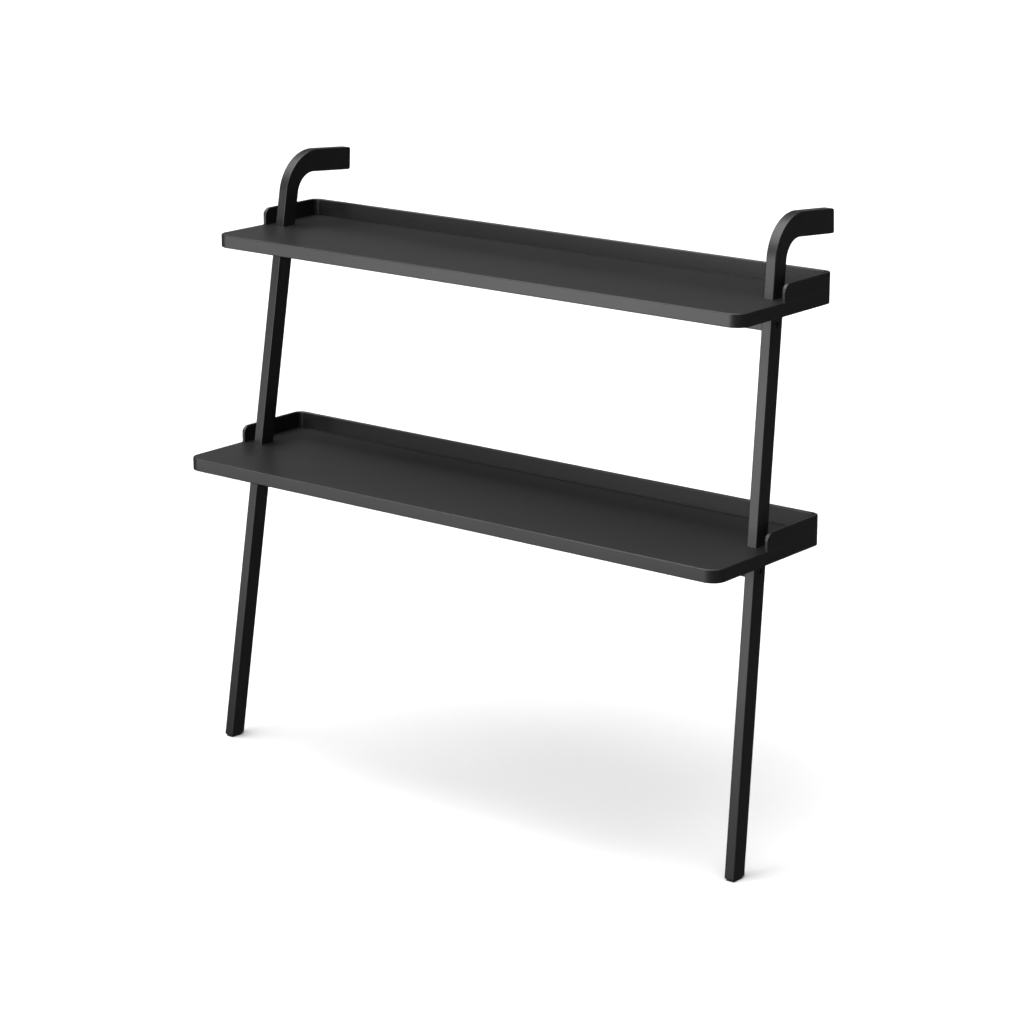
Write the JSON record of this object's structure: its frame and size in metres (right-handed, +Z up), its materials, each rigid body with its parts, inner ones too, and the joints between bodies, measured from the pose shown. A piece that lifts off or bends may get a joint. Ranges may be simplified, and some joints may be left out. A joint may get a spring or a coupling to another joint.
{
  "type": "leaning desk hutch",
  "caption": "Leaning desk hutch: bent black uprights that rest on the wall carry two shelves with a low gallery at the back and sides.",
  "frame": {"origin": "middle of the bounding box footprint, on the plane the feet stand on", "axes": "+X along the shelves to the right as seen from the front, +Y towards the wall the arms rest on, +Z up"},
  "size_m": [1, 0.333, 0.9317],
  "materials": {
    "black_lacquered_wood": "satin black lacquer over smooth wood",
    "black_rubber": "matte rubber",
    "brass_plated_steel": "yellow passivated bolt",
    "zinc_steel": "zinc plated",
    "bare_beech": "bare turned wood"
  },
  "bodies": {
    "root": {"left_upright": "black_lacquered_wood", "left_foot_pad": "black_rubber", "left_wall_pad": "black_rubber", "right_upright": "black_lacquered_wood", "right_foot_pad": "black_rubber", "right_wall_pad": "black_rubber", "lower_shelf_board": "black_lacquered_wood", "lower_gallery": "black_lacquered_wood", "lower_rail": "black_lacquered_wood", "lower_board_screw_1": "zinc_steel", "lower_board_screw_2": "zinc_steel", "lower_board_screw_3": "zinc_steel", "lower_left_bolt": "brass_plated_steel", "lower_left_barrel_nut": "zinc_steel", "lower_left_dowel": "bare_beech", "lower_right_bolt": "brass_plated_steel", "lower_right_barrel_nut": "zinc_steel", "lower_right_dowel": "bare_beech", "upper_shelf_board": "black_lacquered_wood", "upper_gallery": "black_lacquered_wood", "upper_rail": "black_lacquered_wood", "upper_board_screw_1": "zinc_steel", "upper_board_screw_2": "zinc_steel", "upper_board_screw_3": "zinc_steel", "upper_left_bolt": "brass_plated_steel", "upper_left_barrel_nut": "zinc_steel", "upper_left_dowel": "bare_beech", "upper_right_bolt": "brass_plated_steel", "upper_right_barrel_nut": "zinc_steel", "upper_right_dowel": "bare_beech"}
  },
  "joints": []
}
